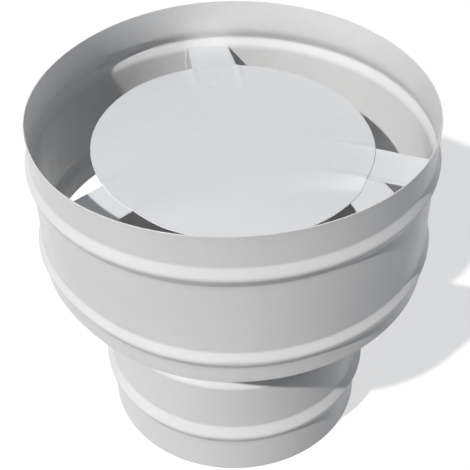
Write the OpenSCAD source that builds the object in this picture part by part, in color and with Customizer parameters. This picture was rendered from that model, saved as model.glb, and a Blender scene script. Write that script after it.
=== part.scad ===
// Round anti-downdraught chimney cowl of thin painted sheet.
// An open-ended outer shell stands clear around the top of a spigot pipe. A flat disc inside the shell
// shields the pipe's mouth. Three folded straps carry disc, shell and spigot.
// Units are millimetres. Origin: centre of the spigot's lower edge. +Z is up.

/* [Flue] */
// Outside diameter of the flue pipe that enters the spigot
flue_d = 125; // [105:1:145]
// Clearance all round between flue pipe and spigot
flue_clearance = 0.5; // [0.2:0.1:1.2]
// Height of the spigot pipe
spigot_h = 98; // [85:1:160]

/* [Sheet] */
// Thickness of the sheet of shell, spigot and disc
sheet_t = 0.5; // [0.4:0.1:1]
// Thickness of the strip that the straps are folded from
strap_t = 0.8; // [0.5:0.1:1.5]

/* [Shell] */
// Outside diameter of the shell, beads not counted
shell_d = 180; // [165:1:240]
// Height of the shell
shell_h = 80; // [65:1:130]
// How far the spigot's top edge stands above the shell's lower edge
spigot_rise = 3; // [1:0.5:12]

/* [Disc] */
// Diameter of the disc
disc_d = 127; // [100:1:150]
// Depth of the disc's top face below the shell's upper rim
disc_drop = 20.5; // [5:0.5:35]

/* [Shell beads] */
// Centre of the upper bead below the shell's rim
upper_bead_drop = 18.5; // [9:0.5:26]
// How far the upper bead stands out
upper_bead_out = 2.2; // [0.8:0.1:3.5]
// Centre of the lower bead above the shell's lower edge
lower_bead_rise = 14.5; // [8:0.5:26]
// How far the lower bead stands out
lower_bead_out = 1.6; // [0.8:0.1:3.5]
// Radius of the crest of both shell beads
shell_bead_crest_r = 5; // [4:0.1:7]
// Radius that blends both shell beads into the wall
shell_bead_blend_r = 3.6; // [2:0.1:6]

/* [Spigot bead and stop groove] */
// Centre of the bead above the spigot's lower edge
spigot_bead_rise = 28; // [12:0.5:40]
// How far the bead stands out
spigot_bead_out = 2.8; // [0.8:0.1:4]
// Radius of the bead's crest
spigot_bead_crest_r = 6; // [4.5:0.1:8]
// Radius that blends the bead into the wall
spigot_bead_blend_r = 4; // [2:0.1:6]
// Depth to which the flue pipe enters, up to the stop groove
flue_insert = 58.5; // [50:0.5:64]
// How far the stop groove is pressed inward
groove_in = 1.8; // [0.8:0.1:3]
// Radius of the groove's crest
groove_crest_r = 5; // [4:0.1:7]
// Radius that blends the groove into the wall
groove_blend_r = 4; // [2:0.1:6]

/* [Straps] */
// Width of each strap
strap_w = 22; // [12:1:40]
// Length of strap that lies under the disc, from the disc's edge inward
strap_lap = 24; // [12:1:45]
// Inside radius of the folds
strap_bend_r = 1.5; // [1:0.1:3]
// Height of the foot's upper face below the spigot's top edge
foot_drop = 1; // [0.5:0.1:4]
// Length of the tab that turns down on the spigot's outside
tab_h = 14; // [6:1:24]
// Play left between a strap and the curved wall that it is welded to
weld_play = 0.1; // [0.05:0.05:0.3]
// Direction of the rear strap around the axis, in degrees from +X
rear_angle = 98; // [70:1:125]
// Direction of the right strap
right_angle = -15; // [-45:1:10]
// Direction of the left strap
left_angle = 219; // [195:1:245]

/* [Hidden] */
$fn = 180;
spigot_ir = flue_d / 2 + flue_clearance;
spigot_or = spigot_ir + sheet_t;
shell_or = shell_d / 2;
shell_ir = shell_or - sheet_t;
shell_z = spigot_h - spigot_rise;
rim_z = shell_z + shell_h;
disc_z = rim_z - disc_drop - sheet_t;
groove_half = bump_half(groove_in, groove_crest_r + sheet_t, groove_blend_r);
groove_z = flue_insert + groove_half;
leg_or = shell_ir - weld_play;
leg_ir = leg_or - strap_t;
lap_r = disc_d / 2 - strap_lap;
foot_z = spigot_h - foot_drop - strap_t;
tab_ir = spigot_or + weld_play;
fold_r = strap_bend_r + strap_t;
tab_z = foot_z - strap_bend_r - tab_h;

// Half the width of a swage, from its centre to where it meets the wall.
function bump_half(h, crest_r, blend_r) =
  sqrt(pow(crest_r + blend_r, 2) - pow(crest_r + blend_r - h, 2));

// Section of a swage on the line x = 0 towards +X, reaching back by root.
module bump(h, crest_r, blend_r, root) {
  span = crest_r + blend_r;
  half = bump_half(h, crest_r, blend_r);
  tx = h - crest_r * h / span;
  ty = crest_r * half / span;
  difference() {
    union() {
      intersection() {
        translate([h - crest_r, 0]) circle(r = crest_r);
        translate([-root, -half]) square([h + root + 1, 2 * half]);
      }
      polygon([[-root, -half], [0, -half], [tx, -ty], [tx, ty], [0, half], [-root, half]]);
    }
    for (s = [-1, 1]) {
      translate([blend_r, s * half]) circle(r = blend_r);
    }
  }
}

// Section of a sheet wall whose outside is at radius r, with outward beads [centre, out, crest, blend]
// and inward grooves in the same form.
module wall_section(r, z, h, beads, grooves) {
  difference() {
    union() {
      translate([r - sheet_t, z]) square([sheet_t, h]);
      for (b = beads) {
        translate([r, b[0]]) bump(b[1], b[2], b[3], sheet_t / 2);
      }
      for (g = grooves) {
        translate([r - sheet_t, g[0]]) mirror([1, 0]) bump(g[1], g[2] + sheet_t, g[3], sheet_t / 2);
      }
    }
    for (b = beads) {
      translate([r - sheet_t, b[0]]) bump(b[1], b[2] - sheet_t, b[3] + sheet_t, sheet_t / 2);
    }
    for (g = grooves) {
      translate([r, g[0]]) mirror([1, 0]) bump(g[1], g[2], g[3] + sheet_t, sheet_t / 2);
    }
  }
}

// One quarter of a folded strip, centred on the fold's axis, towards +X and +Y.
module fold() {
  intersection() {
    difference() {
      circle(r = fold_r, $fn = 48);
      circle(r = strap_bend_r, $fn = 48);
    }
    square(fold_r);
  }
}

// Section of a strap: lap under the disc, leg on the shell's inner wall, foot, tab on the spigot.
module strap_section() {
  translate([lap_r, disc_z - strap_t]) square([leg_or - fold_r - lap_r, strap_t]);
  translate([leg_or - fold_r, disc_z - fold_r]) fold();
  translate([leg_ir, foot_z + fold_r]) square([strap_t, disc_z - fold_r - foot_z - fold_r]);
  translate([leg_or - fold_r, foot_z + fold_r]) mirror([0, 1]) fold();
  translate([tab_ir + fold_r, foot_z]) square([leg_or - tab_ir - 2 * fold_r, strap_t]);
  translate([tab_ir + fold_r, foot_z + strap_t - fold_r]) mirror([1, 0]) fold();
  translate([tab_ir, tab_z]) square([strap_t, foot_z + strap_t - fold_r - tab_z]);
}

module strap(angle) {
  color([0.87, 0.88, 0.89])
  rotate([0, 0, angle])
  intersection() {
    rotate([0, 0, -60]) rotate_extrude(angle = 120) strap_section();
    translate([0, -strap_w / 2, tab_z - 1]) cube([shell_or, strap_w, rim_z]);
  }
}

module outer_shell() {
  color([0.86, 0.87, 0.88])
  rotate_extrude()
  wall_section(shell_or, shell_z, shell_h,
    [[rim_z - upper_bead_drop, upper_bead_out, shell_bead_crest_r, shell_bead_blend_r],
     [shell_z + lower_bead_rise, lower_bead_out, shell_bead_crest_r, shell_bead_blend_r]],
    []);
}

module spigot_pipe() {
  color([0.86, 0.87, 0.88])
  rotate_extrude()
  wall_section(spigot_or, 0, spigot_h,
    [[spigot_bead_rise, spigot_bead_out, spigot_bead_crest_r, spigot_bead_blend_r]],
    [[groove_z, groove_in, groove_crest_r, groove_blend_r]]);
}

module baffle_disc() {
  color([0.85, 0.86, 0.88])
  translate([0, 0, disc_z])
  cylinder(r = disc_d / 2, h = sheet_t);
}

module strap_rear() {
  strap(rear_angle);
}

module strap_right() {
  strap(right_angle);
}

module strap_left() {
  strap(left_angle);
}

outer_shell();
spigot_pipe();
baffle_disc();
strap_rear();
strap_right();
strap_left();
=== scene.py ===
"""Looks of the anti-downdraught chimney cowl: white-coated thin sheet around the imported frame.

The six sheet pieces are modelled again as fine meshes with the true swages, folds and cut edges. On top of
that they get what the real piece shows: a rim pulled out of round, spot welds, the creases and the sag of
the disc, straps bent by hand and the flush seams of the rolled sheets.
"""

import math

import bmesh
import bpy
import numpy as np
from mathutils import Matrix, Vector


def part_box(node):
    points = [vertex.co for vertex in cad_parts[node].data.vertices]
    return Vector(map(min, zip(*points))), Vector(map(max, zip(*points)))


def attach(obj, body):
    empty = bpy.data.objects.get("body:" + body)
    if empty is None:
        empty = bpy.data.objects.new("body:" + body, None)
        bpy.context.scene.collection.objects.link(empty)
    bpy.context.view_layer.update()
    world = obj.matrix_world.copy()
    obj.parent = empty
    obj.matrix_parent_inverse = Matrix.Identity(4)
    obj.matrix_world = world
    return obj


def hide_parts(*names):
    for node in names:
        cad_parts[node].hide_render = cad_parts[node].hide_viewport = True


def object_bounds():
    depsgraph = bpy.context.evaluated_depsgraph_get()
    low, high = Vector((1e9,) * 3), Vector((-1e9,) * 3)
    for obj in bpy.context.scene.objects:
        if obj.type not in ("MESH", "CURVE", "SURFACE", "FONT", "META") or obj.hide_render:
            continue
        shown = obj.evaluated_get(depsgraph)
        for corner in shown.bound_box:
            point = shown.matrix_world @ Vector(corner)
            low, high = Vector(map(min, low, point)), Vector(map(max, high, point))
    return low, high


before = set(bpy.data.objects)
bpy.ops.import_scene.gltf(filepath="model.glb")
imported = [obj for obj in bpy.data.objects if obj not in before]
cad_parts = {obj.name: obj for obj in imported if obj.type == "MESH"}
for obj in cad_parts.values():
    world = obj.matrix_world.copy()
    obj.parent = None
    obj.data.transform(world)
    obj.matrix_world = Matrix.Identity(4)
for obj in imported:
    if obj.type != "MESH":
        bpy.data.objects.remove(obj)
cad_low, cad_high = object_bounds()

MM = 0.001
TAU = 2 * math.pi
QUARTER = math.pi / 2

# Levels, thickness and reach, from the frame
SHELL_LOW, SHELL_HIGH = (corner.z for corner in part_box("outer_shell"))
PIPE_LOW, PIPE_HIGH = (corner.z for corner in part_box("spigot_pipe"))
DISC_LOW, DISC_HIGH = (corner.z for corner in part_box("baffle_disc"))
SHEET_T = DISC_HIGH - DISC_LOW
BOX_R = min(cad_high.x, cad_high.y, -cad_low.x, -cad_low.y)

# Outside radius of the two rolled walls and of the disc
SHELL_R = 90 * MM
PIPE_R = 63.5 * MM
DISC_R = 63.5 * MM

# Swages: centre above or below an edge, how far they stand out, slope of their flanks
UPPER_BEAD_DROP = 20.4 * MM
UPPER_BEAD_OUT = 2.05 * MM
UPPER_BEAD_SLOPE = math.radians(25.5)
LOWER_BEAD_RISE = 13.3 * MM
LOWER_BEAD_OUT = 2.1 * MM
LOWER_BEAD_SLOPE = math.radians(28.5)
PIPE_BEAD_RISE = 26.7 * MM
PIPE_BEAD_OUT = 2.8 * MM
PIPE_BEAD_SLOPE = math.radians(29)
GROOVE_START = 58.5 * MM
GROOVE_IN = 1.8 * MM
GROOVE_SLOPE = math.radians(33)
# Radii of a swage's crest and of the blends at its feet, on the wall's outer face
CREST_R = 2.6 * MM
BLEND_R = 3.2 * MM
# Radius of the blends on the inner face behind a bead, which the roller leaves rounder
SOFT_BLEND_R = 7.5 * MM

# Rounding of the cut edges, and how far from them the line of a wall's face ends
EDGE_R = 0.2 * MM
EDGE_GUARD = 3 * EDGE_R

# Mesh density: steps over a cut edge, a swage's arc, its flank and a fold
EDGE_STEPS = 4
ARC_STEPS = 5
FLANK_STEPS = 3
FOLD_STEPS = 10
# Lengths of the steps on plain wall and strap, and the lines across a strap between its rounded edges
WALL_STEP = 2.6 * MM
STRAP_STEP = 2.0 * MM
ACROSS_LINES = 11
# Places around the axis
SHELL_SEGMENTS = 540
PIPE_SEGMENTS = 420
DISC_SEGMENTS = 360
# Rings of the disc inside its cut edge: radius in millimetres from and to, and how many
DISC_RINGS = ((0.4, 38, 22), (38.6, 62.9, 48))
# Points of a mesh that are closer than this become one
MERGE_DIST = 0.0005 * MM

# Grime along cut edges and painted shade in the corners beside the swages: share at most, and how wide
GRIME_AND_SHADE = 0.10
GRIME_AND_SHADE_W = 0.9 * MM

# Seam of the rolled sheets
SEAM_ANGLE = math.radians(162)
SEAM_W = 0.7 * MM
SEAM_H = 0.07 * MM
# Lines of the mesh over it: how many, how many widths they reach, and how many the even lines keep clear
SEAM_LINES = 9
SEAM_REACH = 2
SEAM_CLEAR = 2.3

# Slow unevenness of the rolled sheets: its height, its waves around, and radians per metre of height
SHELL_RIPPLE = 0.14 * MM
PIPE_RIPPLE = 0.10 * MM
RIPPLE_ORDERS = (4, 5, 7, 9, 12)
RIPPLE_RISE = (18, 60)
SHELL_SEED = 3
PIPE_SEED = 8


def unit_step(x):
    """Smooth step from 0 to 1 while x goes from 0 to 1."""
    share = np.clip(x, 0, 1)
    return share * share * (3 - 2 * share)


def bump_at(distance, radius):
    """Round bump of height 1 whose flank ends at about twice the radius."""
    return np.exp(-((distance / radius) ** 2))


def soft_min(first, second, soft):
    """Smaller of two lengths, blended where they are within about soft of each other."""
    return -soft * np.logaddexp(-first / soft, -second / soft)


def turned(angle):
    """Angle brought between -pi and pi."""
    return (angle + math.pi) % TAU - math.pi


def between(start, end, share):
    """Point on the straight way from start to end."""
    return tuple(first + (last - first) * share for first, last in zip(start, end))


def swage_half(out, slope, offset=0, foot_r=BLEND_R):
    """Half the width of a swage, from its centre to where its blend meets the wall's face at offset."""
    crest_r = CREST_R + offset
    flank_out = out - CREST_R + crest_r * math.cos(slope) - offset - foot_r * (1 - math.cos(slope))
    return (crest_r + foot_r) * math.sin(slope) + flank_out / math.tan(slope)


def swage_points(out, slope, offset):
    """Line over a swage as (outward, along) points: crest and feet are arcs, the flanks straight.

    The face lies at offset from the wall's outer face, counted the way that the swage stands out.
    """
    foot_r = SOFT_BLEND_R if offset < 0 else BLEND_R - offset
    half = swage_half(out, slope, offset, foot_r)
    crest_r = CREST_R + offset
    foot = [
        (offset + foot_r * (1 - math.cos(angle)), foot_r * math.sin(angle) - half)
        for angle in np.linspace(0, slope, ARC_STEPS + 1)
    ]
    crest = [
        (out - CREST_R + crest_r * math.cos(angle), crest_r * math.sin(angle))
        for angle in np.linspace(-slope, slope, 2 * ARC_STEPS + 1)
    ]
    shares = np.linspace(0, 1, FLANK_STEPS + 1)[1:-1]
    rising = foot + [between(foot[-1], crest[0], share) for share in shares]
    falling = [(outward, -along) for outward, along in rising[::-1]]
    return rising + crest + falling


def plain_wall(radius, low, high):
    """Line of a plain stretch of wall, with both ends."""
    steps = max(2, round((high - low) / WALL_STEP))
    return [(radius, level) for level in np.linspace(low, high, steps + 1)]


def wall_face(radius, low, high, swages, offset):
    """Line of one face of a rolled wall from low to high, over its swages (centre, out, slope).

    A swage that goes inward has a negative out.
    """
    line = []
    reached = low
    for centre, out, slope in sorted(swages):
        sign = 1 if out > 0 else -1
        points = swage_points(abs(out), slope, sign * offset)
        line += plain_wall(radius + offset, reached, centre + points[0][1])[:-1]
        line += [(radius + sign * outward, centre + along) for outward, along in points[:-1]]
        reached = centre + points[-1][1]
    return line + plain_wall(radius + offset, reached, high)


def edge_corner(radius, level, start):
    """Quarter round of a cut edge about (radius, level), from the angle start on."""
    return [
        (radius + EDGE_R * math.cos(angle), level + EDGE_R * math.sin(angle))
        for angle in np.linspace(start, start + QUARTER, EDGE_STEPS + 1)
    ]


def wall_contour(radius, low, high, swages):
    """Closed section of a rolled sheet wall: up the outside, over the cut edge, down the inside."""
    outer = wall_face(radius, low + EDGE_GUARD, high - EDGE_GUARD, swages, 0)
    inner = wall_face(radius, low + EDGE_GUARD, high - EDGE_GUARD, swages, -SHEET_T)
    top = edge_corner(radius - EDGE_R, high - EDGE_R, 0)
    top += edge_corner(radius - SHEET_T + EDGE_R, high - EDGE_R, QUARTER)
    bottom = edge_corner(radius - SHEET_T + EDGE_R, low + EDGE_R, 2 * QUARTER)
    bottom += edge_corner(radius - EDGE_R, low + EDGE_R, 3 * QUARTER)
    return np.array(outer + top + inner[::-1] + bottom)


def mesh_piece(name, points, quads, grime_and_shade, node, material):
    """Mesh that stands for a node of the frame and rides on it. Grime and painted shade are given for each
    point.
    """
    mesh = bpy.data.meshes.new(name)
    mesh.from_pydata([tuple(point) for point in points], [], quads)
    attribute = mesh.attributes.new("grime_and_shade", "FLOAT", "POINT")
    attribute.data.foreach_set("value", np.asarray(grime_and_shade, dtype=float))
    work = bmesh.new()
    work.from_mesh(mesh)
    bmesh.ops.remove_doubles(work, verts=work.verts, dist=MERGE_DIST)
    bmesh.ops.recalc_face_normals(work, faces=work.faces)
    work.to_mesh(mesh)
    work.free()
    mesh.shade_smooth()
    mesh.materials.append(material)
    piece = bpy.data.objects.new(name, mesh)
    bpy.context.scene.collection.objects.link(piece)
    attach(piece, "root")
    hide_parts(node)


def ring_quads(rows, columns):
    """Quads of a closed section of rows points turned through columns places and back to the first."""
    quads = []
    for column in range(columns):
        here = column * rows
        there = (column + 1) % columns * rows
        for row in range(rows):
            up = (row + 1) % rows
            quads.append((here + row, there + row, there + up, here + up))
    return quads


def turned_section(contour, angles):
    """Angle, radius and level of every point of a section turned round the axis."""
    angle, radius = np.meshgrid(angles, contour[:, 0], indexing="ij")
    level = np.meshgrid(angles, contour[:, 1], indexing="ij")[1]
    return angle, radius, level


def seamed_angles(segments):
    """Angles around the axis, with more of them on the narrow seam."""
    even = np.linspace(0, TAU, segments, endpoint=False)
    widths = np.linspace(-SEAM_REACH, SEAM_REACH, SEAM_LINES)
    over_seam = (SEAM_ANGLE + widths * SEAM_W / SHELL_R) % TAU
    clear = np.abs(turned(even - SEAM_ANGLE)) > SEAM_CLEAR * SEAM_W / SHELL_R
    return np.sort(np.concatenate([even[clear], over_seam]))


def wall_grime_and_shade(contour, swages):
    """Grime and painted shade along a wall's section: a little grime at its two cut edges, and painted shade in
    the corners beside its swages.
    """
    levels = contour[:, 1]
    places = [levels.min(), levels.max()]
    # The corners at the feet of each swage get painted shade; the two cut edges get grime
    for centre, out, slope in swages:
        half = swage_half(abs(out), slope)
        places += [centre - half, centre + half]
    return sum(GRIME_AND_SHADE * bump_at(levels - place, GRIME_AND_SHADE_W) for place in places)


def rolled_piece(name, radius, box_levels, swages, segments, form, node, material):
    """Rolled sheet: its section turned round the axis, moved out and up by form(angle, radius, level)."""
    contour = wall_contour(radius, *box_levels, swages)
    angles = seamed_angles(segments)
    angle, radius, level = turned_section(contour, angles)
    outward, upward = form(angle, radius, level)
    radius, level = radius + outward, level + upward
    points = np.stack([radius * np.cos(angle), radius * np.sin(angle), level], axis=-1).reshape(-1, 3)
    grime_and_shade = np.tile(wall_grime_and_shade(contour, swages), len(angles))
    mesh_piece(name, points, ring_quads(len(contour), len(angles)), grime_and_shade, node, material)


def seam(angle, radius):
    """Low ridge of the seam."""
    return SEAM_H * bump_at(turned(angle - SEAM_ANGLE) * radius, SEAM_W)


def ripple(angle, level, seed, height):
    """Slow unevenness of a rolled sheet."""
    random = np.random.default_rng(seed)
    total = 0
    for order in RIPPLE_ORDERS:
        turn, rise = random.uniform(0, TAU, 2)
        waves = random.uniform(*RIPPLE_RISE)
        total = total + np.cos(order * angle + turn) * np.cos(level * waves + rise) / order
    return height * total


# Straps: strip, folds, where each one stands, and the levels and radii that its section runs through
STRAP_T = 0.8 * MM
STRAP_W = 22 * MM
STRAP_BEND_R = 1.5 * MM
STRAP_ANGLES = {"strap_rear": 98, "strap_right": -15, "strap_left": 219}
LAP_R = 39.5 * MM
LEG_R = 89.4 * MM
FOOT_TOP_DROP = 1 * MM
TAB_R = 63.6 * MM
TAB_H = 14 * MM
# How far each strap slopes down between the disc's edge and the wall
STRAP_DROPS = {"strap_rear": 3.6 * MM, "strap_right": 1.7 * MM, "strap_left": 1.4 * MM}
# The rear strap at the wall: how far it runs aside, how much its left edge is lifted and drawn in, and how
# sharply the drawing in grows towards the fold
REAR_SKEW = 1.3 * MM
REAR_LIFT = 1.6 * MM
REAR_NARROWS = 1.8 * MM
REAR_NARROWS_POWER = 12
# Depth below the disc within which a strap follows the disc's sag
SAG_DEPTH = 3 * STRAP_T

# The rim as the photo shows it: an oval, and three pulls outward
OVAL = 0.9 * MM
OVAL_ANGLE = math.radians(37)
PULL = 1.0 * MM
PULL_ANGLE = math.radians(-25)
# The lower edge is drawn inward where the left strap's foot holds it
LIP_PUSH = 2.7 * MM
LIP_PUSH_ANGLE = math.radians(222)
LIP_PUSH_WIDTH = math.radians(24)
# The rim is a little flat beside it
RIM_FLAT = 0.7 * MM
RIM_FLAT_ANGLE = math.radians(203)
RIM_FLAT_WIDTH = math.radians(15)
# The upper bead lies lower behind than in front: half the difference, and how far above and below it fades
BEAD_DIP = 0.5 * MM
BEAD_DIP_REACH = 11 * MM
# The scene's wall stays within the frame's box, with a blend this long
BOX_BLEND = 0.2 * MM
# Spot welds that hold each strap's leg, in millimetres along the wall from the strap's middle and above the
# shell's edge
LEG_WELDS = ((-5.4, 33.2), (4.4, 35.0))
WELD_R = 1.9 * MM
WELD_DEEP = 0.16 * MM


def leg_welds(angle, level):
    """Dents of the spot welds in the shell's wall."""
    dent = 0
    for strap_angle in STRAP_ANGLES.values():
        for along, rise in LEG_WELDS:
            aside = turned(angle - math.radians(strap_angle)) * SHELL_R - along * MM
            dent = dent + bump_at(np.hypot(aside, level - SHELL_LOW - rise * MM), WELD_R)
    return WELD_DEEP * dent


def wall_pull(angle, level):
    """How far the shell's wall is drawn out or in. The straps' legs follow it.

    The pull is none up to the lower bead, half at the upper bead and whole at the rim. The push is whole at
    the lower edge and none from the upper bead on.
    """
    lower_z = SHELL_LOW + LOWER_BEAD_RISE
    upper_z = SHELL_HIGH - UPPER_BEAD_DROP
    above = unit_step((level - upper_z) / (SHELL_HIGH - upper_z))
    below = unit_step((level - lower_z) / (upper_z - lower_z))
    pull = OVAL * np.cos(2 * (angle - OVAL_ANGLE)) + PULL * np.cos(3 * (angle - PULL_ANGLE))
    pull = pull - RIM_FLAT * bump_at(turned(angle - RIM_FLAT_ANGLE), RIM_FLAT_WIDTH)
    push = LIP_PUSH * bump_at(turned(angle - LIP_PUSH_ANGLE), LIP_PUSH_WIDTH)
    low_share = np.clip((upper_z - level) / (upper_z - SHELL_LOW), 0, 1)
    return pull * (0.5 * below + 0.5 * above) - push * low_share


def shell_form(angle, radius, level):
    """What the shell's wall departs from round, outward and upward."""
    on_beads = np.clip(np.abs(radius - SHELL_R) / UPPER_BEAD_OUT, 0, 1)
    form = wall_pull(angle, level)
    form = form + ripple(angle, level, SHELL_SEED, SHELL_RIPPLE) * (1 - on_beads)
    form = form + seam(angle, radius) - leg_welds(angle, level)
    room = BOX_R / np.maximum(np.abs(np.cos(angle)), np.abs(np.sin(angle))) - radius
    near_bead = bump_at(level - SHELL_HIGH + UPPER_BEAD_DROP, BEAD_DIP_REACH)
    dip = BEAD_DIP * (1 + np.sin(angle)) * near_bead
    return soft_min(form, room - BOX_BLEND, BOX_BLEND), -dip


def pipe_form(angle, radius, level):
    """What the spigot's wall departs from round, outward and upward."""
    return ripple(angle, level, PIPE_SEED, PIPE_RIPPLE) + seam(angle, radius), 0


def outer_shell(material):
    """Shell with its two beads."""
    swages = [
        (SHELL_LOW + LOWER_BEAD_RISE, LOWER_BEAD_OUT, LOWER_BEAD_SLOPE),
        (SHELL_HIGH - UPPER_BEAD_DROP, UPPER_BEAD_OUT, UPPER_BEAD_SLOPE),
    ]
    rolled_piece(
        "outer_shell_sheet", SHELL_R, (SHELL_LOW, SHELL_HIGH), swages, SHELL_SEGMENTS, shell_form,
        "outer_shell", material
    )


def spigot_pipe(material):
    """Spigot with its bead and its stop groove."""
    groove_z = PIPE_LOW + GROOVE_START + swage_half(GROOVE_IN, GROOVE_SLOPE)
    swages = [
        (PIPE_LOW + PIPE_BEAD_RISE, PIPE_BEAD_OUT, PIPE_BEAD_SLOPE),
        (groove_z, -GROOVE_IN, GROOVE_SLOPE),
    ]
    rolled_piece(
        "spigot_pipe_sheet", PIPE_R, (PIPE_LOW, PIPE_HIGH), swages, PIPE_SEGMENTS, pipe_form,
        "spigot_pipe", material
    )


# Spot welds on the disc over the straps' laps, in millimetres along the strap from the axis and aside from
# its middle
DISC_WELDS = {
    "strap_rear": ((54.0, -3.0), (46.0, 4.0)),
    "strap_right": ((57.0, 1.5), (47.0, -4.0)),
    "strap_left": ((45.5, 4.0), (61.0, 0.5)),
}
DISC_WELD_DEEP = 0.12 * MM
# Creases over the edges of the laps: how far they run inward, their width and height
CREASE_IN = 26 * MM
CREASE_W = 1.3 * MM
CREASE_H = 0.42 * MM
# Height of the disc's edge around the axis: direction in degrees, millimetres above or below flat
EDGE_HEIGHTS = (
    (-24, -0.4), (-6, -0.4), (12, -1.2), (45, -0.5), (86, 0.0), (110, 0.1), (140, 0.8), (172, 0.8), (207, -0.2),
    (229, -0.4), (336, -0.4),
)
# Share of the disc's radius inside which it stays flat, and how sharply the sheet bends outside it
FLAT_SHARE = 0.25
SAG_POWER = 1.7
# The thin sheet hangs lower in front, between the left and the right strap: how much at the edge, from which
# direction to which it grows, and how wide the bend beside each strap is at the edge and per length inward
FRONT_SAG = 3.3 * MM
FRONT_SAG_FROM = math.radians(229)
FRONT_SAG_FULL = math.radians(305)
BEND_W = {"strap_left": 17 * MM, "strap_right": 7 * MM}
BEND_WIDENS = 0.5
# Speck of dried coating on the disc
NIB_PLACE = (28.3 * MM, 41.1 * MM)
NIB_R = 0.7 * MM
NIB_H = 0.2 * MM


def edge_height(angle):
    """Height of the disc's edge in the direction angle, smooth between the given ones."""
    first = EDGE_HEIGHTS[0][0]
    degrees = (np.degrees(angle) - first) % 360 + first
    places, heights = np.array(EDGE_HEIGHTS).T
    after = np.clip(np.searchsorted(places, degrees, side="right"), 1, len(places) - 1)
    share = unit_step((degrees - places[after - 1]) / (places[after] - places[after - 1]))
    return (heights[after - 1] + (heights[after] - heights[after - 1]) * share) * MM


def along_strap(strap_name, x, y):
    """Place as seen from a strap: along it from the axis, and aside from its middle."""
    turn = math.radians(STRAP_ANGLES[strap_name])
    along = x * math.cos(turn) + y * math.sin(turn)
    aside = -x * math.sin(turn) + y * math.cos(turn)
    return along, aside


def front_share(x, y):
    """Share of the front sag at a place: none over the left and right strap and behind them."""
    inward = np.maximum(DISC_R - np.hypot(x, y), 0)
    share = {}
    for strap_name, width in BEND_W.items():
        aside = along_strap(strap_name, x, y)[1]
        ahead = aside if strap_name == "strap_left" else -aside
        share[strap_name] = unit_step((ahead - STRAP_W / 2) / (width + BEND_WIDENS * inward))
    swing = np.arctan2(y, x) % TAU
    grown = unit_step((swing - FRONT_SAG_FROM) / (FRONT_SAG_FULL - FRONT_SAG_FROM))
    return share["strap_right"] * (0.5 * share["strap_left"] + 0.5 * grown)


def disc_form(x, y):
    """How far the disc's sheet stands above or below flat."""
    reach = np.hypot(x, y) / DISC_R
    outward = np.maximum((reach - FLAT_SHARE) / (1 - FLAT_SHARE), 0) ** SAG_POWER
    form = (edge_height(np.arctan2(y, x)) - FRONT_SAG * front_share(x, y)) * outward
    form = form + NIB_H * bump_at(np.hypot(x - NIB_PLACE[0], y - NIB_PLACE[1]), NIB_R)
    for strap_name, welds in DISC_WELDS.items():
        along, aside = along_strap(strap_name, x, y)
        fade = unit_step((along - DISC_R + CREASE_IN) / CREASE_IN)
        for side in (-1, 1):
            form = form + CREASE_H * fade * bump_at(aside - side * STRAP_W / 2, CREASE_W)
        for place, off in welds:
            dent = bump_at(np.hypot(along - place * MM, aside - off * MM), WELD_R)
            form = form - DISC_WELD_DEEP * dent
    return form


def baffle_disc(material):
    """Round plate with a rounded cut edge and the creases, welds and sag of its thin sheet."""
    rings = np.concatenate([np.linspace(*ring) for ring in DISC_RINGS]) * MM
    top = [(ring, DISC_HIGH) for ring in rings]
    top += edge_corner(DISC_R - EDGE_R, DISC_HIGH - EDGE_R, 0)[::-1]
    under = edge_corner(DISC_R - EDGE_R, DISC_LOW + EDGE_R, -QUARTER)[::-1]
    under += [(ring, DISC_LOW) for ring in rings[::-1]]
    contour = np.array(top + under)
    rows = len(contour)
    angles = np.linspace(0, TAU, DISC_SEGMENTS, endpoint=False)
    angle, radius, level = turned_section(contour, angles)
    x, y = radius * np.cos(angle), radius * np.sin(angle)
    points = np.stack([x, y, level + disc_form(x, y)], axis=-1).reshape(-1, 3)
    middle_top, middle_low = len(points), len(points) + 1
    middle_form = float(disc_form(0.0, 0.0))
    middle = [[0, 0, DISC_HIGH + middle_form], [0, 0, DISC_LOW + middle_form]]
    points = np.concatenate([points, middle])
    # The section is open at the axis: no quad joins its two ends, and two fans close the faces
    quads = [quad for quad in ring_quads(rows, DISC_SEGMENTS) if abs(quad[0] - quad[3]) == 1]
    for column in range(DISC_SEGMENTS):
        here = column * rows
        there = (column + 1) % DISC_SEGMENTS * rows
        quads.append((middle_top, here, there))
        quads.append((middle_low, there + rows - 1, here + rows - 1))
    grime_and_shade = GRIME_AND_SHADE * bump_at(DISC_R - np.hypot(points[:, 0], points[:, 1]), GRIME_AND_SHADE_W)
    mesh_piece("baffle_disc_sheet", points, quads, grime_and_shade, "baffle_disc", material)


def fold_line(centre, radius, start, turn):
    """Points and outward directions of a fold's middle line about centre, in the (radius, level) plane."""
    side = 1 if turn < 0 else -1
    line = []
    for angle in np.linspace(start, start + turn, FOLD_STEPS + 1):
        ahead, up = math.cos(angle), math.sin(angle)
        place = (centre[0] + radius * ahead, centre[1] + radius * up)
        line.append((place, (side * ahead, side * up)))
    return line


def straight_line(start, end, normal):
    """Points of a flat stretch of the strip's middle line, its two ends left out."""
    count = max(2, round(math.dist(start, end) / STRAP_STEP))
    return [(between(start, end, step / count), normal) for step in range(1, count)]


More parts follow.
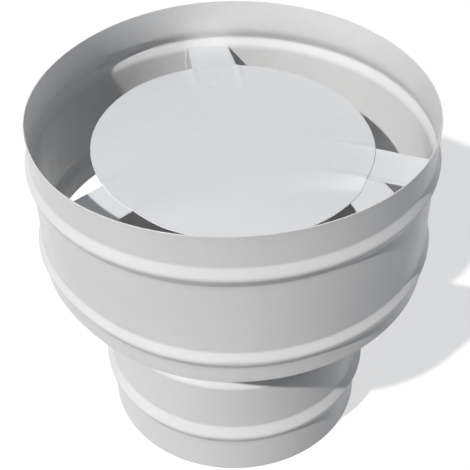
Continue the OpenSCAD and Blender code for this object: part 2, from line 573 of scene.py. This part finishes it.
def strap_line():
    """Middle line of a folded strap with its side that faces out: lap, leg, foot and tab."""
    mid = STRAP_BEND_R + STRAP_T / 2
    fold = STRAP_BEND_R + STRAP_T
    foot_z = PIPE_HIGH - FOOT_TOP_DROP - STRAP_T / 2
    lap_end = (LAP_R, DISC_LOW - STRAP_T / 2)
    tab_end = (TAB_R + STRAP_T / 2, foot_z - STRAP_T / 2 - STRAP_BEND_R - TAB_H)
    top = fold_line((LEG_R - fold, DISC_LOW - fold), mid, QUARTER, -QUARTER)
    heel = fold_line((LEG_R - fold, foot_z - STRAP_T / 2 + fold), mid, 0, -QUARTER)
    toe = fold_line((TAB_R + fold, foot_z + STRAP_T / 2 - fold), mid, QUARTER, QUARTER)
    line = [(lap_end, (0, 1))]
    line += straight_line(lap_end, top[0][0], (0, 1)) + top
    line += straight_line(top[-1][0], heel[0][0], (1, 0)) + heel
    line += straight_line(heel[-1][0], toe[0][0], (0, -1)) + toe
    line += straight_line(toe[-1][0], tab_end, (1, 0))
    line.append((tab_end, (1, 0)))
    return line


def strip_end(place, normal, inward, half, side):
    """Rounded edge of the strip's cut end, from the cut to its face. Inward is the way along the strip."""
    points = []
    for angle in np.linspace(QUARTER, 0, EDGE_STEPS + 1):
        out = side * (half - EDGE_R + EDGE_R * math.cos(angle))
        shift = inward.normalized() * (EDGE_R - EDGE_R * math.sin(angle))
        points.append(Vector(place) + shift + Vector(normal) * out)
    return points


def strip_side(line, half, side):
    """One side of the strip's section from end to end, at half its thickness from the middle line."""
    face = [Vector(place) + Vector(normal) * side * half for place, normal in line[1:-1]]
    ends = []
    for (place, normal), (beside, _) in ((line[0], line[1]), (line[-1], line[-2])):
        ends.append(strip_end(place, normal, Vector(beside) - Vector(place), half, side))
    return ends[0] + face + ends[1][::-1]


def strap_point(node, aside, radius, level):
    """Place in the frame of a point of a strap's section, with what the real strap departs from true."""
    turn = math.radians(STRAP_ANGLES[node])
    rear = 1 if node == "strap_rear" else 0
    raised = float(np.clip((level - PIPE_HIGH) / (DISC_LOW - PIPE_HIGH), 0, 1))
    towards_wall = float(np.clip((radius - DISC_R) / (LEG_R - DISC_R), 0, 1))
    left_share = rear * (0.5 + aside / STRAP_W)
    level = level - (STRAP_DROPS[node] - REAR_LIFT * left_share) * raised * towards_wall
    skew = REAR_SKEW * rear * raised
    drawn_in = REAR_NARROWS * left_share * raised**REAR_NARROWS_POWER
    across = aside + (skew - drawn_in) * towards_wall
    radius = radius + wall_pull(turn + across / LEG_R, level) * towards_wall
    along = math.sqrt(radius**2 - across**2)
    x = along * math.cos(turn) - across * math.sin(turn)
    y = along * math.sin(turn) + across * math.cos(turn)
    follows = float(unit_step((level - DISC_LOW + SAG_DEPTH) / STRAP_T) * (1 - towards_wall))
    return x, y, level + min(float(disc_form(x, y)), 0) * follows


def strap(node, material):
    """Folded strip whose leg and tab follow the round walls, with rounded edges all round."""
    line = strap_line()
    flat = STRAP_W / 2 - EDGE_R
    rounding = [
        (flat + EDGE_R * math.sin(angle), EDGE_R - EDGE_R * math.cos(angle))
        for angle in np.linspace(QUARTER, 0, EDGE_STEPS + 1)
    ]
    inner = [(aside, 0.0) for aside in np.linspace(flat - 2 * EDGE_R, -flat + 2 * EDGE_R, ACROSS_LINES)]
    rows = rounding + inner + [(-aside, inset) for aside, inset in rounding[::-1]]
    points = []
    grime_and_shade = []
    for aside, inset in rows:
        half = STRAP_T / 2 - inset
        outline = strip_side(line, half, 1) + strip_side(line, half, -1)[::-1]
        points += [strap_point(node, aside, radius, level) for radius, level in outline]
        grime_and_shade += [GRIME_AND_SHADE * bump_at(STRAP_W / 2 - abs(aside), GRIME_AND_SHADE_W)] * len(outline)
    count = len(outline)
    quads = []
    for row in range(len(rows) - 1):
        here, there = row * count, (row + 1) * count
        for step in range(count):
            following = (step + 1) % count
            quads.append((here + step, here + following, there + following, there + step))
    for base in (0, (len(rows) - 1) * count):
        for step in range(count // 2 - 1):
            quads.append((base + step, base + step + 1, base + count - 2 - step, base + count - 1 - step))
    mesh_piece(node + "_strip", points, quads, grime_and_shade, node, material)


class Nodes:
    """Short way to build a material's or the world's node tree."""

    def __init__(self, tree):
        self.tree = tree
        tree.nodes.clear()

    def add(self, kind, **settings):
        """New node with its settings."""
        node = self.tree.nodes.new(kind)
        for key, value in settings.items():
            setattr(node, key, value)
        return node

    def link(self, output, socket):
        """Link an output to the socket of another node."""
        self.tree.links.new(output, socket)

    def fill(self, node, values):
        """Set or link the inputs that are named: a socket is linked, anything else is set."""
        for name, value in values.items():
            if isinstance(value, bpy.types.NodeSocket):
                self.link(value, node.inputs[name])
            else:
                node.inputs[name].default_value = value

    def noise(self, place, scale, detail, roughness=0.5):
        """Noise with about this many features per metre."""
        node = self.add("ShaderNodeTexNoise")
        self.fill(node, {"Vector": place, "Scale": scale, "Detail": detail, "Roughness": roughness})
        return node.outputs["Fac"]

    def range(self, value, low, high, to_low, to_high):
        """Smooth step from to_low to to_high while the value goes from low to high."""
        node = self.add("ShaderNodeMapRange", interpolation_type="SMOOTHSTEP")
        limits = {"From Min": low, "From Max": high, "To Min": to_low, "To Max": to_high}
        self.fill(node, {"Value": value, **limits})
        return node.outputs["Result"]

    def math(self, operation, first, second):
        """Sum, product or the like of two values."""
        node = self.add("ShaderNodeMath", operation=operation)
        self.fill(node, {0: first, 1: second})
        return node.outputs["Value"]

    def towards(self, axis):
        """How far the direction into the world points along an axis."""
        node = self.add("ShaderNodeVectorMath", operation="DOT_PRODUCT")
        self.fill(node, {0: self.add("ShaderNodeTexCoord").outputs["Generated"], 1: axis})
        return node.outputs["Value"]

    def mix(self, factor, first, second):
        """Mix of two colours, each given or linked."""
        node = self.add("ShaderNodeMix", data_type="RGBA")
        self.link(factor, node.inputs["Factor"])
        for socket, value in ((node.inputs["A"], first), (node.inputs["B"], second)):
            if isinstance(value, tuple):
                socket.default_value = (*value, 1)
            else:
                self.link(value, socket)
        return node.outputs["Result"]

    def bump(self, height, strength, distance):
        """Bump node of this strength and depth."""
        node = self.add("ShaderNodeBump")
        self.fill(node, {"Height": height, "Strength": strength, "Distance": distance})
        return node

    def diffuse(self, colour):
        """Matt shader of one colour."""
        node = self.add("ShaderNodeBsdfDiffuse")
        self.fill(node, {"Color": (*colour, 1)})
        return node.outputs["BSDF"]

    def choose(self, factor, first, second):
        """First shader where the factor is 0, second where it is 1."""
        node = self.add("ShaderNodeMixShader")
        self.fill(node, {0: factor, 1: first, 2: second})
        return node.outputs["Shader"]


# White coatings
SHELL_COLOUR = (0.805, 0.805, 0.805)
PIPE_COLOUR = (0.80, 0.80, 0.80)
# The disc's white is the shell's coating made a little darker and bluer: painted shade and a painted bluish
# reflection on its upper face
DISC_WHITE_WITH_PAINTED_SKY = (0.77, 0.78, 0.795)
STRAP_COLOUR = (0.80, 0.81, 0.82)
GLOSS = {"IOR": 1.5, "Specular IOR Level": 0.35, "Coat Weight": 0.15, "Coat Roughness": 0.06}
# How far the noises are shifted from one coating to the next, in metres
SEED_SHIFT = (0.37, 0.21, 0.13)
# Noises of a coating: features per metre, detail and, for the film, roughness of the noise
CLOUDS = (22, 1.0)
FILM = (160, 4.0, 0.55)
SPECKS = (1300, 2.0)
SMEARS = (40, 3.0)
PEEL = (620, 2.0)
WAVES = (45, 1.0)
# Where in the noise's range each effect sets in and is whole
CLOUD_RANGE = (0.25, 0.75)
DUST_RANGE = (0.45, 0.85)
SPECK_RANGE = (0.70, 0.76)
BREAK_RANGE = (0.30, 0.62)
SMEAR_RANGE = (0.30, 0.72)
# What they bring in: a darker shade, dust and specks with their greatest share, grime and painted corner shade
# broken to their least
CLOUD_SHADE = 0.965
DUST = (0.60, 0.60, 0.58)
DUST_SHARE = 0.10
SPECK = (0.42, 0.40, 0.36)
SPECK_SHARE = 0.30
GRIME_AND_SHADE_COLOUR = (0.40, 0.39, 0.37)
GRIME_AND_SHADE_LEAST = 0.45
# Roughness of the clean coating, and what smears, grime and the painted corner shade add to it
COAT_ROUGHNESS = 0.29
SMEAR_ROUGHNESS = 0.10
GRIME_AND_SHADE_ROUGHNESS = 0.1
# Strength and depth of the orange peel and of the coating's slow waves
PEEL_BUMP = (0.25, 0.02 * MM)
WAVES_BUMP = (0.35, 0.25 * MM)


def white_coat(name, colour, seed):
    """Glossy white coating on thin sheet: faint mottling, a little dust, grime and painted corner shade, orange
    peel.
    """
    material = bpy.data.materials.new(name)
    material.use_nodes = True
    n = Nodes(material.node_tree)
    shifted = n.add("ShaderNodeMapping")
    shift = tuple(seed * step for step in SEED_SHIFT)
    n.fill(shifted, {"Vector": n.add("ShaderNodeTexCoord").outputs["Object"], "Location": shift})
    place = shifted.outputs["Vector"]

    cloudy = n.range(n.noise(place, *CLOUDS), *CLOUD_RANGE, 0, 1)
    film = n.noise(place, *FILM)
    dusty = n.range(film, *DUST_RANGE, 0, DUST_SHARE)
    specks = n.range(n.noise(place, *SPECKS), *SPECK_RANGE, 0, SPECK_SHARE)
    grime_and_shade = n.add("ShaderNodeAttribute", attribute_name="grime_and_shade").outputs["Fac"]
    # Darker along cut edges as grime, and in the corners beside the swages as painted shade
    broken_grime_and_shade = n.math("MULTIPLY", grime_and_shade, n.range(film, *BREAK_RANGE, GRIME_AND_SHADE_LEAST, 1))
    paint = n.mix(cloudy, colour, tuple(CLOUD_SHADE * part for part in colour))
    paint = n.mix(dusty, paint, DUST)
    paint = n.mix(specks, paint, SPECK)
    paint = n.mix(broken_grime_and_shade, paint, GRIME_AND_SHADE_COLOUR)

    smeared = COAT_ROUGHNESS + SMEAR_ROUGHNESS
    smears = n.range(n.noise(place, *SMEARS), *SMEAR_RANGE, COAT_ROUGHNESS, smeared)
    rough = n.math("ADD", smears, n.math("MULTIPLY", broken_grime_and_shade, GRIME_AND_SHADE_ROUGHNESS))

    peel = n.bump(n.noise(place, *PEEL), *PEEL_BUMP)
    waves = n.bump(n.noise(place, *WAVES), *WAVES_BUMP)
    n.link(peel.outputs["Normal"], waves.inputs["Normal"])
    surface = waves.outputs["Normal"]

    shader = n.add("ShaderNodeBsdfPrincipled")
    n.fill(shader, {"Base Color": paint, "Roughness": rough, "Normal": surface, "Coat Normal": surface})
    n.fill(shader, GLOSS)
    output = n.add("ShaderNodeOutputMaterial")
    n.link(shader.outputs["BSDF"], output.inputs["Surface"])
    return material


def seen_directly(n):
    """1 for rays of the camera and of mirror-like or clear surfaces, 0 for the light on the object."""
    path = n.add("ShaderNodeLightPath")
    seen = n.math("MAXIMUM", path.outputs["Is Camera Ray"], path.outputs["Is Glossy Ray"])
    return n.math("MAXIMUM", seen, path.outputs["Is Transmission Ray"])


# Plain pale floor: what it throws back, and the colour and glow that it shows
FLOOR_SIZE = 6.0
FLOOR_BOUNCE = (0.10, 0.10, 0.10)
FLOOR_SEEN = (0.50, 0.50, 0.50)
FLOOR_GLOW = 0.60


def floor():
    """Floor that shows white and keeps the shadow, and throws only a little light back."""
    mesh = bpy.data.meshes.new("floor")
    half = FLOOR_SIZE / 2
    corners = [(-half, -half, 0), (half, -half, 0), (half, half, 0), (-half, half, 0)]
    mesh.from_pydata(corners, [], [(0, 1, 2, 3)])
    piece = bpy.data.objects.new("floor", mesh)
    bpy.context.scene.collection.objects.link(piece)
    material = bpy.data.materials.new("floor_white")
    material.use_nodes = True
    n = Nodes(material.node_tree)
    glow = n.add("ShaderNodeEmission")
    n.fill(glow, {"Strength": FLOOR_GLOW})
    shown = n.add("ShaderNodeAddShader")
    n.fill(shown, {0: n.diffuse(FLOOR_SEEN), 1: glow.outputs["Emission"]})
    either = n.choose(seen_directly(n), n.diffuse(FLOOR_BOUNCE), shown.outputs["Shader"])
    output = n.add("ShaderNodeOutputMaterial")
    n.link(either, output.inputs["Surface"])
    mesh.materials.append(material)


# Light: a key from the front left, and a soft dome that grows towards the upper front left
KEY_AZIMUTH = math.radians(233.2)
KEY_ELEVATION = math.radians(45.5)
KEY_STRENGTH = 3.0
KEY_SPREAD = math.radians(1.6)
KEY_COLOUR = (1.0, 0.985, 0.965)
DOME_AXIS = (-0.42, -0.42, 0.80)
DOME_RANGE = (-0.5, 0.95)
DOME_LOW = (0.018, 0.021, 0.027)
DOME_HIGH = (0.150, 0.166, 0.192)
# Low soft light from behind and right, which fades upward
BACK_AXIS = (0.42, 0.907, 0.0)
BACK_RANGE = (-0.10, 0.70)
BACK_LIGHT = (1.30, 1.34, 1.40)
UP = (0, 0, 1)
BACK_FADES = (0.10, 0.55)


def key_light():
    """Sun lamp from the direction of the photo's light."""
    lamp = bpy.data.lights.new("key", "SUN")
    lamp.energy = KEY_STRENGTH
    lamp.angle = KEY_SPREAD
    lamp.color = KEY_COLOUR
    holder = bpy.data.objects.new("key", lamp)
    bpy.context.scene.collection.objects.link(holder)
    towards = Vector((
        math.cos(KEY_ELEVATION) * math.cos(KEY_AZIMUTH),
        math.cos(KEY_ELEVATION) * math.sin(KEY_AZIMUTH),
        math.sin(KEY_ELEVATION),
    ))
    holder.location = towards
    holder.rotation_euler = towards.to_track_quat("Z", "Y").to_euler()


def dome_light():
    """World that lights the object softly and shows white."""
    world = bpy.data.worlds.new("dome")
    bpy.context.scene.world = world
    world.use_nodes = True
    n = Nodes(world.node_tree)
    front = n.mix(n.range(n.towards(DOME_AXIS), *DOME_RANGE, 0, 1), DOME_LOW, DOME_HIGH)
    low_down = n.range(n.towards(UP), *BACK_FADES, 1, 0)
    behind = n.math("MULTIPLY", n.range(n.towards(BACK_AXIS), *BACK_RANGE, 0, 1), low_down)
    light = n.add("ShaderNodeBackground")
    n.fill(light, {"Color": n.mix(behind, front, BACK_LIGHT)})
    white = n.add("ShaderNodeBackground")
    n.fill(white, {"Color": (1, 1, 1, 1)})
    either = n.choose(seen_directly(n), light.outputs["Background"], white.outputs["Background"])
    output = n.add("ShaderNodeOutputWorld")
    n.link(either, output.inputs["Surface"])


# Camera at the photograph's viewing angle
CAMERA_PLACE = Vector((0.63, -385.56, 434.02)) * MM
CAMERA_DOWN = math.radians(41.01)
CAMERA_ROLL = math.radians(-0.43)
LENS_MM = 81.2
SENSOR_MM = 36.0
CLIP_NEAR = 0.01
CLIP_FAR = 20


def camera():
    """Camera that looks along +Y and down."""
    data = bpy.data.cameras.new("camera")
    data.lens = LENS_MM
    data.sensor_width = SENSOR_MM
    data.clip_start = CLIP_NEAR
    data.clip_end = CLIP_FAR
    holder = bpy.data.objects.new("camera", data)
    bpy.context.scene.collection.objects.link(holder)
    tilt = Matrix.Rotation(QUARTER - CAMERA_DOWN, 4, "X")
    roll = Matrix.Rotation(CAMERA_ROLL, 4, "Z")
    holder.matrix_world = Matrix.Translation(CAMERA_PLACE) @ tilt @ roll
    bpy.context.scene.camera = holder


camera()
floor()
key_light()
dome_light()

outer_shell(white_coat("shell_coat", SHELL_COLOUR, seed=1))
spigot_pipe(white_coat("spigot_coat", PIPE_COLOUR, seed=2))
baffle_disc(white_coat("disc_coat", DISC_WHITE_WITH_PAINTED_SKY, seed=3))
strap_coat = white_coat("strap_coat", STRAP_COLOUR, seed=4)
for strap_name in STRAP_ANGLES:
    strap(strap_name, strap_coat)

bpy.context.scene.view_settings.view_transform = "Standard"
